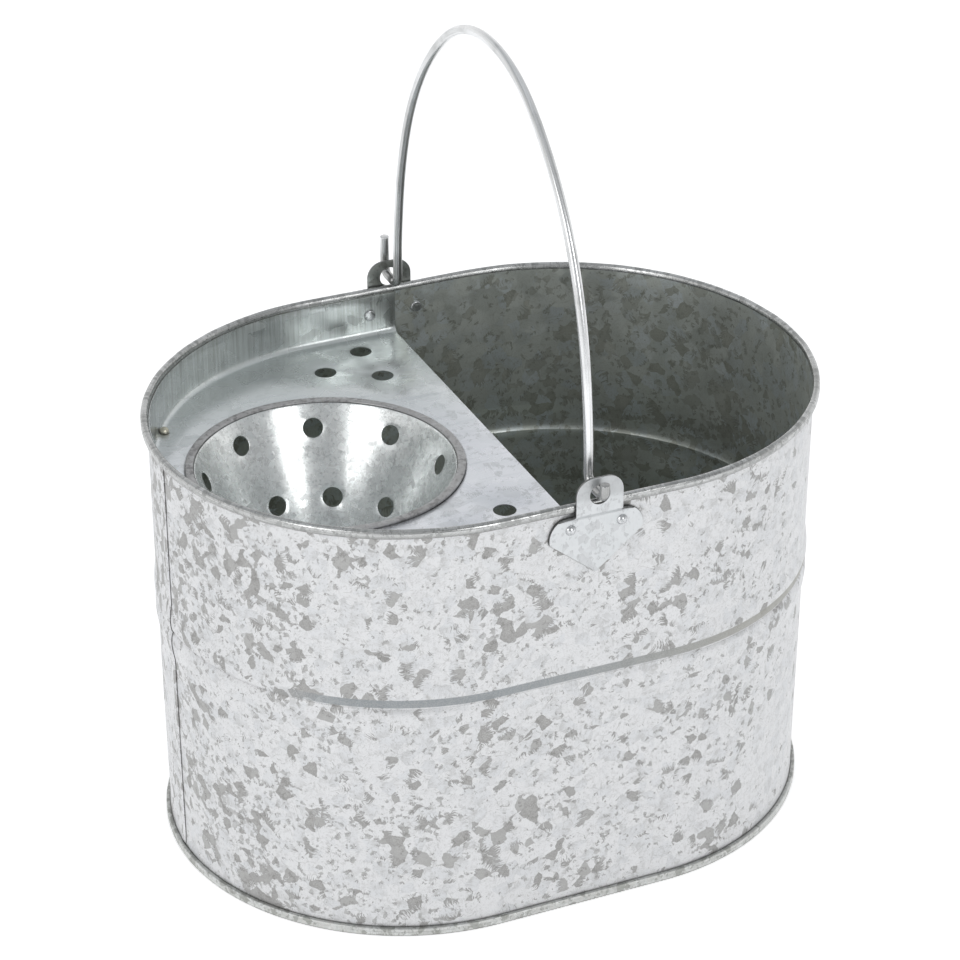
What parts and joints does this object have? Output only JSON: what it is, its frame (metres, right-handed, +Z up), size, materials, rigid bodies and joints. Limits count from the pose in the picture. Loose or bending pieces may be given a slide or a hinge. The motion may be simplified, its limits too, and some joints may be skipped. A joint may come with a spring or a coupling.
{
  "type": "florist bucket",
  "caption": "Oval galvanised steel bucket with a wired rim, riveted lugs and a swinging wire bail; a deck over one half carries a fixed perforated cone.",
  "frame": {"origin": "middle of the base ring, where it rests on a surface", "axes": "+X along the length, with the cone on the -X half; +Y across; +Z up towards the bail"},
  "size_m": [0.3618, 0.286, 0.4375],
  "materials": {
    "galvanised_body": "hot-dip galvanised sheet with a coarse grey spangle, satin",
    "galvanised_base": "hot-dip galvanised sheet, duller and slightly olive in the double seam",
    "galvanised_deck": "smooth galvanised sheet with a faint blue cast",
    "bright_cone": "bright galvanised sheet, nearly mirror-like, with radial streaks",
    "lug_plate": "satin zinc plate",
    "rivet_steel": "bright zinc",
    "solder": "dull yellowish solder",
    "steel_wire": "drawn galvanised wire, satin"
  },
  "bodies": {
    "bucket": {"body_shell": "galvanised_body", "rim_wire": "steel_wire", "base_pan": "galvanised_base", "wringer_deck": "galvanised_deck", "wringer_cone": "bright_cone", "cone_floor": "bright_cone", "front_lug": "lug_plate", "back_lug": "lug_plate", "front_left_rivet": "rivet_steel", "front_right_rivet": "rivet_steel", "back_left_rivet": "rivet_steel", "back_right_rivet": "rivet_steel", "deck_solder_tack": "solder"},
    "bail": {"bail": "steel_wire"}
  },
  "joints": [
    {"name": "bail_swing", "type": "hinge", "parent": "bucket", "child": "bail", "pos_m": [0.0025, 0, 0.247], "axis": [0, 1, 0], "range_deg": [-90, 90]}
  ]
}
